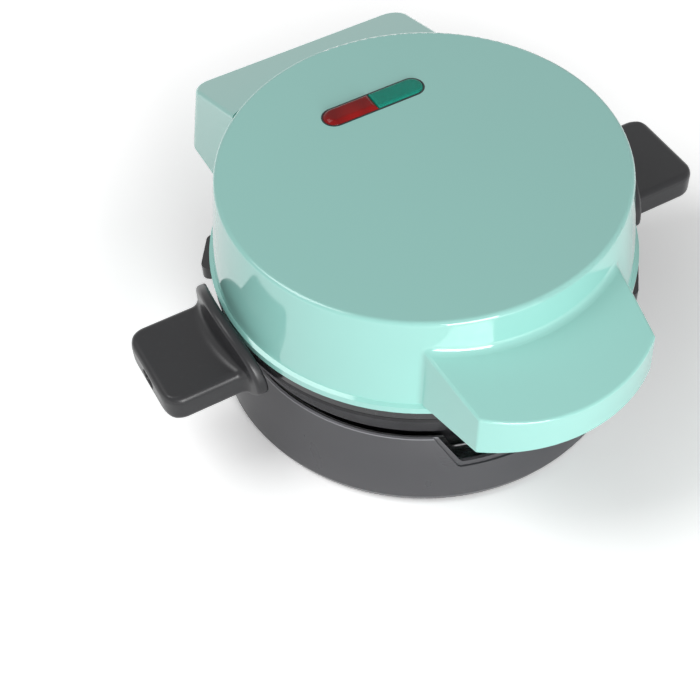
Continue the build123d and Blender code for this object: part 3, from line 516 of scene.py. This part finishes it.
def handle_rows():
    """The handle's skin from the well's floor out to the end face, back along the grip, out
    through the cove onto the guard, over its rim and in again behind it. A grip row is a
    round-cornered rectangle whose half sizes follow quarter circles near the end; a guard row
    lies between that rectangle and the guard's outline of two half ellipses."""
    rows = []

    def flat_row(half_w, half_h, corner, x):
        ring = box_ring(half_w, half_h, corner)[0]
        rows.append(np.column_stack([np.full(len(ring), x), ring[:, 0], ring[:, 1] + GRIP_MID_Z]))

    well_w, well_h, well_d = WELL
    for shrink, x in ((0.6, GRIP_OUT - well_d), (1.0, GRIP_OUT - well_d), (1.0, GRIP_OUT - 0.6)):
        flat_row(well_w * shrink, well_h * shrink, well_h * shrink * 0.98, x)
    flat_row(well_w + 0.25, well_h + 0.25, well_h + 0.2, GRIP_OUT - 0.15)
    flat_row(well_w + 0.7, well_h + 0.6, well_h * 0.8, GRIP_OUT)
    for x_in in GRIP_EDGE * (1 - np.cos(np.linspace(0.08, math.pi / 2, 10))):
        edge_h = math.sqrt(max(GRIP_EDGE ** 2 - (GRIP_EDGE - x_in) ** 2, 0))
        edge_w = math.sqrt(max(GRIP_CORNER ** 2 - (GRIP_CORNER - x_in) ** 2, 0))
        flat_row(GRIP_HALF_W - GRIP_CORNER + edge_w, GRIP_HALF_H - GRIP_EDGE + edge_h,
                 min(GRIP_EDGE, GRIP_HALF_H - GRIP_EDGE + edge_h) * 0.97, GRIP_OUT - x_in)
    for x_in in (5.0, 6.2, 7.6, 9.0, 10.0):
        edge_w = math.sqrt(GRIP_CORNER ** 2 - (GRIP_CORNER - x_in) ** 2)
        flat_row(GRIP_HALF_W - GRIP_CORNER + edge_w, GRIP_HALF_H, GRIP_EDGE, GRIP_OUT - x_in)
    for x in GRIP_ROWS:
        flat_row(GRIP_HALF_W, GRIP_HALF_H, GRIP_EDGE, x)

    grip_ring = box_ring(GRIP_HALF_W, GRIP_HALF_H, GRIP_EDGE)[0] + np.array([0, GRIP_MID_Z])
    turn_mark = np.interp(ring_marks, [0, CORNER_MARKS[0], CORNER_MARKS[1], 1], [0, 0.08, 0.34, 1])
    turn_by = turn_mark * math.pi / 2
    reach_z = np.where(ring_z_sign > 0, GUARD_TOP - GUARD_MID, GUARD_MID - GUARD_LOW)
    guard_ring = np.column_stack([GUARD_HALF_W * np.cos(turn_by) * ring_y_sign,
                                  GUARD_MID + reach_z * np.sin(turn_by) * ring_z_sign])
    across = guard_ring - grip_ring
    width = np.linalg.norm(across, axis=1)
    heading = across / width[:, None]
    cove = COVE * np.tanh(0.5 * width / COVE)
    lip = GUARD_LIP * np.tanh(0.45 * width / GUARD_LIP)

    def guard_row(out, radius, lift):
        spot = grip_ring + heading * out[:, None]
        x = np.sqrt(radius ** 2 - spot[:, 0] ** 2) + lift
        rows.append(np.column_stack([x, spot]))

    for phase in np.linspace(0, math.pi / 2, 9):
        guard_row(cove * (1 - math.cos(phase)), GUARD_OUT, cove * (1 - math.sin(phase)))
    for phase in np.linspace(0, math.pi / 2, 7):
        guard_row(width - lip + lip * math.sin(phase), GUARD_OUT, lip * (math.cos(phase) - 1))
    for phase in np.linspace(0, math.pi / 2, 7):
        guard_row(width - lip + lip * math.cos(phase), GUARD_IN, lip * (1 - math.sin(phase)))
    middle = np.array([0.0, GRIP_MID_Z])
    for share in (0.8, 0.5, 0.2):
        spot = middle + (grip_ring - middle) * share
        rows.append(np.column_stack([np.sqrt(GUARD_IN ** 2 - spot[:, 0] ** 2), spot]))
    return np.array(rows)


side_rows = handle_rows()
for word, way in (("right", 1.0), ("left", -1.0)):
    turn_it = np.array([way, way, 1.0])
    handle_mesh = loft_mesh("handle_skin_" + word, side_rows * turn_it,
                            np.array([GRIP_OUT - WELL[2], 0, GRIP_MID_Z]) * turn_it,
                            np.array([GUARD_IN, 0, GRIP_MID_Z]) * turn_it)
    place_piece("handle_skin_" + word, handle_mesh, dark_satin, "cooking_unit",
                ["side_handle_" + word], 50.0)

# The waffle plates: cast aluminium pans with a grey-black release coat. Crossed ridges with
# round tops stand on each floor.
PAN_R = 92.0
PAN_SKIN = 2.5
FLOOR_T = 3.0
RIDGE_H = 8.0
RIDGE_PITCH = 22.0
RIDGE_FOOT = 3.3
RIDGE_FLANK = 2.1
RIDGES = 3
SLAB_R = 93.3
SLAB_BACK = 1.5
SLAB_COVER = 0.3
GRID_END = 94.0
FLANGE_T = 2.0
LOWER_FLANGE_R = 110.1
UPPER_FLANGE_R = 110.6
LOWER_RIM = 71.5
UPPER_RIM = 72.5
LOWER_FLOOR = 45.0
UPPER_FLOOR = 84.5


def ridge_height(across):
    """Height of the nearest ridge at a distance along one axis: full over its middle, then a
    smooth fall over the flank, as three u squared minus two u cubed."""
    nearest = np.clip(np.round(across / RIDGE_PITCH), -RIDGES, RIDGES) * RIDGE_PITCH
    gap = np.abs(across - nearest)
    u = np.clip((RIDGE_FOOT - gap) / RIDGE_FLANK, 0, 1)
    return RIDGE_H * u * u * (3 - 2 * u)


def ridge_slab(floor_z, way):
    """The floor with its ridges as a closed slab: a grid whose lines crowd at the ridges; cells
    beyond the pan's wall are left out and the outer points are drawn in to the wall's skin."""
    half_marks = np.array([1.2, 1.6, 2.0, 2.4, 2.8, 3.2, 3.6, 7.4])
    marks = np.concatenate([-half_marks[::-1], [0], half_marks])
    lines = (np.arange(-RIDGES - 1, RIDGES + 2)[:, None] * RIDGE_PITCH + marks).ravel()
    lines = np.unique(np.concatenate([lines[np.abs(lines) < GRID_END], [-GRID_END, GRID_END]]))
    x, y = np.meshgrid(lines, lines, indexing="ij")
    height = np.maximum(ridge_height(x), ridge_height(y))
    outwards = np.hypot(x, y)
    pull = np.minimum(1.0, SLAB_R / np.maximum(outwards, 1e-6))
    top = np.stack([x * pull, y * pull, floor_z + way * height], axis=-1).reshape(-1, 3)
    back = top.copy()
    back[:, 2] = floor_z - way * SLAB_BACK
    index = np.arange(x.size).reshape(x.shape)
    inside = outwards < SLAB_R
    cell = inside[:-1, :-1] | inside[1:, :-1] | inside[:-1, 1:] | inside[1:, 1:]
    quads = np.stack([index[:-1, :-1], index[1:, :-1], index[1:, 1:], index[:-1, 1:]], axis=-1)[cell]
    rims = quads[:, [[0, 1], [1, 2], [2, 3], [3, 0]]].reshape(-1, 2)
    key = np.sort(rims, axis=1)
    _, where, times = np.unique(key, axis=0, return_inverse=True, return_counts=True)
    rims = rims[times[where.ravel()] == 1]
    walls = np.stack([rims[:, 1], rims[:, 0], rims[:, 0] + x.size, rims[:, 1] + x.size], axis=-1)
    faces = np.vstack([quads, quads[:, ::-1] + x.size, walls])
    if way < 0:
        faces = faces[:, ::-1]
    return np.vstack([top, back]), faces


def turned_shell(outline, around=144):
    """A ring-shaped or round solid of revolution: the closed outline of (radius, height) is
    carried round the axis; points on the axis close it."""
    outline = np.asarray(outline, float)
    angle = np.arange(around) / around * 2 * math.pi
    x = outline[:, 0][:, None] * np.cos(angle)
    y = outline[:, 0][:, None] * np.sin(angle)
    z = np.repeat(outline[:, 1][:, None], around, axis=1)
    points = np.stack([x, y, z], axis=-1).reshape(-1, 3)
    index = np.arange(len(points)).reshape(len(outline), around)
    below = np.roll(index, -1, axis=0)
    quads = np.stack([index, np.roll(index, -1, axis=1), np.roll(below, -1, axis=1), below], axis=-1)
    return points, quads.reshape(-1, 4)


def round_corner(before, corner, after, radius, steps=5):
    """Points of a rounded corner: a quadratic curve from radius before the corner to radius
    after it, pulled towards the corner itself."""
    before, corner, after = (np.asarray(v, float) for v in (before, corner, after))
    start = corner + (before - corner) / np.linalg.norm(before - corner) * radius
    end = corner + (after - corner) / np.linalg.norm(after - corner) * radius
    t = np.linspace(0, 1, steps)[:, None]
    return ((1 - t) ** 2 * start + 2 * t * (1 - t) * corner + t ** 2 * end).tolist()


def waffle_plate(name, rim_z, floor_z, flange_r, way, material, body, replaced):
    """One plate: the ridge slab and a turned pan with a flange, joined as one piece. Each
    corner of the pan's outline is given by its two neighbours, itself and a radius."""
    tall = float(way)
    under_rim = rim_z - FLANGE_T * tall
    under_floor = floor_z - FLOOR_T * tall
    mid_floor = floor_z - SLAB_COVER * tall
    pan_out = PAN_R + PAN_SKIN
    corners = [
        ((PAN_R, floor_z), (PAN_R, rim_z), (flange_r, rim_z), 1.2),
        ((PAN_R, rim_z), (flange_r, rim_z), (flange_r, under_rim), 0.5),
        ((flange_r, rim_z), (flange_r, under_rim), (pan_out, under_rim), 0.5),
        ((flange_r, under_rim), (pan_out, under_rim), (pan_out, under_floor), 0.8),
        ((pan_out, rim_z), (pan_out, under_floor), (10.0, under_floor), 2.0),
    ]
    outline = []
    for before, corner, after, radius in corners:
        outline += round_corner(before, corner, after, radius)
    outline += [[0.0, under_floor], [0.0, mid_floor]]
    outline += round_corner((10.0, mid_floor), (PAN_R, mid_floor), (PAN_R, rim_z), 4.0, 7)
    pan_points, pan_faces = turned_shell(outline)
    if way > 0:
        pan_faces = pan_faces[:, ::-1]
    slab_points, slab_faces = ridge_slab(floor_z, way)
    points = np.vstack([pan_points, slab_points])
    faces = np.vstack([pan_faces, slab_faces + len(pan_points)])
    mesh = bpy.data.meshes.new(name)
    mesh.from_pydata((points * MM + np.array([0, AXIS_Y * MM, 0])).tolist(), [], faces.tolist())
    mesh.validate()
    place_piece(name, mesh, material, body, [replaced], 40.0)


# The coat is speckled with fine pale flecks
release_coat, coat_tree, coat_shader, coat_place = new_material("release_coat")
coat_skin = use_group(coat_tree, moulded_skin, {
    "Colour": (0.055, 0.053, 0.052, 1), "Shade": (0.035, 0.034, 0.034, 1), "Clouds": 0.8,
    "Peel Scale": 1500.0, "Gloss Low": 0.34, "Gloss High": 0.5})
coat_flecks = add_node(coat_tree, "ShaderNodeTexNoise", None, {"Scale": 1400.0, "Detail": 1.0})
coat_fleck_mask = add_node(coat_tree, "ShaderNodeMapRange", None, {"From Min": 0.64, "From Max": 0.7})
coat_speckle = add_node(coat_tree, "ShaderNodeMix", {"data_type": "RGBA"},
                        {"B": (0.16, 0.155, 0.15, 1)})
coat_bump = add_node(coat_tree, "ShaderNodeBump", None, {"Strength": 0.4, "Distance": 0.00006})
coat_tree.links.new(coat_place.outputs["Object"], coat_skin.inputs["Vector"])
coat_tree.links.new(coat_place.outputs["Object"], coat_flecks.inputs["Vector"])
coat_tree.links.new(coat_flecks.outputs["Fac"], coat_fleck_mask.inputs["Value"])
coat_tree.links.new(coat_fleck_mask.outputs["Result"], coat_speckle.inputs["Factor"])
coat_tree.links.new(coat_skin.outputs["Colour"], coat_speckle.inputs["A"])
coat_tree.links.new(coat_speckle.outputs["Result"], coat_shader.inputs["Base Color"])
coat_tree.links.new(coat_skin.outputs["Roughness"], coat_shader.inputs["Roughness"])
coat_tree.links.new(coat_skin.outputs["Height"], coat_bump.inputs["Height"])
coat_tree.links.new(coat_bump.outputs["Normal"], coat_shader.inputs["Normal"])
waffle_plate("lower_waffle_pan", LOWER_RIM, LOWER_FLOOR, LOWER_FLANGE_R, 1, release_coat,
             "cooking_unit", "lower_plate")
waffle_plate("upper_waffle_pan", UPPER_RIM, UPPER_FLOOR, UPPER_FLANGE_R, -1, release_coat,
             "lid", "upper_plate")

# Heaters: steel tubes, blued by heat, against the back of each plate.
blued_steel = metal("blued_steel", drawn_grain, {"Stretch": (300.0, 300.0, 300.0)}, 0.00003,
                    (0.24, 0.22, 0.24), (0.34, 0.27, 0.2), (0.35, 0.5))
finish_nodes(["upper_heater", "lower_heater"], blued_steel)

# The works under the lower plate: a round thermostat and a fuse in steel, and a white
# ceramic terminal block. Above, a wool mat keeps the lid's top cool.
finish_nodes(["thermostat", "thermal_fuse"], zinc_steel)
white_ceramic = moulded_plastic(
    "white_ceramic", (0.74, 0.72, 0.68), (0.66, 0.64, 0.6), 0.6, 1200.0, 0.00003, (0.3, 0.42))
finish_nodes(["terminal_block"], white_ceramic)
mineral_wool, wool_tree, wool_shader, wool_place = new_material("mineral_wool")
wool_fibres = add_node(wool_tree, "ShaderNodeTexNoise", None,
                       {"Scale": 420.0, "Detail": 6.0, "Roughness": 0.7, "Distortion": 1.5})
wool_ramp = add_node(wool_tree, "ShaderNodeMix", {"data_type": "RGBA"},
                     {"A": (0.42, 0.38, 0.28, 1), "B": (0.62, 0.57, 0.44, 1)})
wool_bump = add_node(wool_tree, "ShaderNodeBump", None, {"Strength": 0.8, "Distance": 0.0006})
wool_shader.inputs["Roughness"].default_value = 0.95
wool_tree.links.new(wool_place.outputs["Object"], wool_fibres.inputs["Vector"])
wool_tree.links.new(wool_fibres.outputs["Fac"], wool_ramp.inputs["Factor"])
wool_tree.links.new(wool_ramp.outputs["Result"], wool_shader.inputs["Base Color"])
wool_tree.links.new(wool_fibres.outputs["Fac"], wool_bump.inputs["Height"])
wool_tree.links.new(wool_bump.outputs["Normal"], wool_shader.inputs["Normal"])
finish_nodes(["lid_insulation"], mineral_wool)

# The lid: one high-gloss mint moulding with the front handle and the rear hinge housing,
# and a mint plate that closes the handle from below.
mint_gloss = moulded_plastic(
    "mint_gloss", (0.33, 0.68, 0.615), (0.305, 0.65, 0.585), 0.5, 500.0, 0.000008, (0.07, 0.11),
    worn=(0.42, 0.74, 0.69), rub=(0.0885, 0.082, 0.3))
shader_of(mint_gloss).inputs["Coat Weight"].default_value = 0.35
shader_of(mint_gloss).inputs["Coat Roughness"].default_value = 0.05
finish_nodes(["lid_shell", "front_handle_cover"], mint_gloss)

# The indicator: a small circuit board with two glass lamps under two lenses in the lid's top.
board_green = moulded_plastic(
    "board_green", (0.03, 0.16, 0.07), (0.02, 0.11, 0.05), 0.7, 1200.0, 0.00002, (0.3, 0.4))
finish_nodes(["lamp_board"], board_green)
lamp_glass, lamp_tree, lamp_shader, lamp_place = new_material("lamp_glass")
lamp_frost = add_node(lamp_tree, "ShaderNodeTexNoise", None, {"Scale": 700.0, "Detail": 2.0})
lamp_gloss = add_node(lamp_tree, "ShaderNodeMapRange", None, {"To Min": 0.08, "To Max": 0.2})
lamp_shader.inputs["Base Color"].default_value = (0.9, 0.85, 0.8, 1)
lamp_shader.inputs["Transmission Weight"].default_value = 0.9
lamp_tree.links.new(lamp_place.outputs["Object"], lamp_frost.inputs["Vector"])
lamp_tree.links.new(lamp_frost.outputs["Fac"], lamp_gloss.inputs["Value"])
lamp_tree.links.new(lamp_gloss.outputs["Result"], lamp_shader.inputs["Roughness"])
finish_nodes(["red_lamp", "green_lamp"], lamp_glass)

WINDOW_X = 1.6
WINDOW_Y = 54.2
LENS_HALF_L = 29.6
LENS_HALF_W = 6.35
LENS_LOW = 133.0
LID_TOP = 137.0
SPLIT_GAP = 0.1


def half_pill(side, inset):
    """Outline of one half of the pill, drawn in by an inset: the cut edge, a straight side,
    the end's half circle and the other side, counter-clockwise for the right half."""
    radius = LENS_HALF_W - inset
    centre = LENS_HALF_L - LENS_HALF_W
    cut_x = SPLIT_GAP + inset
    cut_y = np.linspace(radius, -radius, 9)[:-1]
    side_x = np.linspace(cut_x, centre, 17)[:-1]
    turn_by = np.linspace(-math.pi / 2, math.pi / 2, 33)
    x = np.concatenate([np.full(8, cut_x), side_x, centre + radius * np.cos(turn_by), side_x[:0:-1]])
    y = np.concatenate([cut_y, np.full(16, -radius), radius * np.sin(turn_by), np.full(15, radius)])
    if side < 0:
        x, y = -x[::-1], y[::-1]
    return np.column_stack([x + WINDOW_X, y + WINDOW_Y])


def lens_piece(name, side, stand, slope, material, replaced):
    """A lens: outlines stacked from its foot up the wall, over a rounded edge, up a sloped
    band and onto a slightly crowned top that ends in a point."""
    steps = [(0.0, LENS_LOW), (0.0, LID_TOP - 0.1), (0.1, LID_TOP + 0.2), (0.3, LID_TOP + 0.45),
             (slope * 0.5, LID_TOP + 0.2 + stand * 0.55), (slope - 0.25, LID_TOP + stand - 0.22),
             (slope, LID_TOP + stand - 0.08), (slope + 0.35, LID_TOP + stand - 0.02),
             (slope + 1.4, LID_TOP + stand)]
    rows = []
    for inset, z in steps:
        ring = half_pill(side, inset)
        rows.append(np.column_stack([ring, np.full(len(ring), z)]))
    rows = np.array(rows)
    middle = WINDOW_X + side * LENS_HALF_L / 2
    foot = np.array([middle, WINDOW_Y, LENS_LOW])
    crown = np.array([middle, WINDOW_Y, LID_TOP + stand])
    mesh = loft_mesh(name, rows, foot, crown)
    return place_piece(name, mesh, material, "lid", [replaced], 60.0)


def lens_plastic(name, colour, deep, dot_scale, dot_height, gloss):
    """Tinted clear plastic as it looks unlit: two deep colours and a shallow relief over
    Voronoi cells, which are broad patches on one lens and fine moulded dots on the other."""
    material, tree, shader, place = new_material(name)
    cells = add_node(tree, "ShaderNodeTexVoronoi", None, {"Scale": dot_scale, "Randomness": 0.25})
    shade = add_node(tree, "ShaderNodeMapRange", None, {"From Min": 0.15, "From Max": 0.6})
    tint = add_node(tree, "ShaderNodeMix", {"data_type": "RGBA"}, {"A": (*colour, 1), "B": (*deep, 1)})
    bump = add_node(tree, "ShaderNodeBump", {"invert": True}, {"Strength": 0.6, "Distance": dot_height})
    shader.inputs["Roughness"].default_value = gloss
    shader.inputs["Specular IOR Level"].default_value = 0.12
    shader.inputs["Coat Weight"].default_value = 0.05
    shader.inputs["Coat Roughness"].default_value = 0.06
    tree.links.new(place.outputs["Object"], cells.inputs["Vector"])
    tree.links.new(cells.outputs["Distance"], shade.inputs["Value"])
    tree.links.new(shade.outputs["Result"], tint.inputs["Factor"])
    tree.links.new(tint.outputs["Result"], shader.inputs["Base Color"])
    tree.links.new(cells.outputs["Distance"], bump.inputs["Height"])
    tree.links.new(bump.outputs["Normal"], shader.inputs["Normal"])
    return material


red_plastic = lens_plastic(
    "red_plastic", (0.30, 0.006, 0.005), (0.20, 0.004, 0.004), 60.0, 0.00001, 0.14)
green_plastic = lens_plastic(
    "green_plastic", (0.015, 0.36, 0.26), (0.008, 0.2, 0.145), 900.0, 0.0002, 0.3)
lens_piece("red_lens_cap", -1, 2.0, 2.2, red_plastic, "red_lens")
lens_piece("green_lens_cap", 1, 1.2, 1.2, green_plastic, "green_lens")
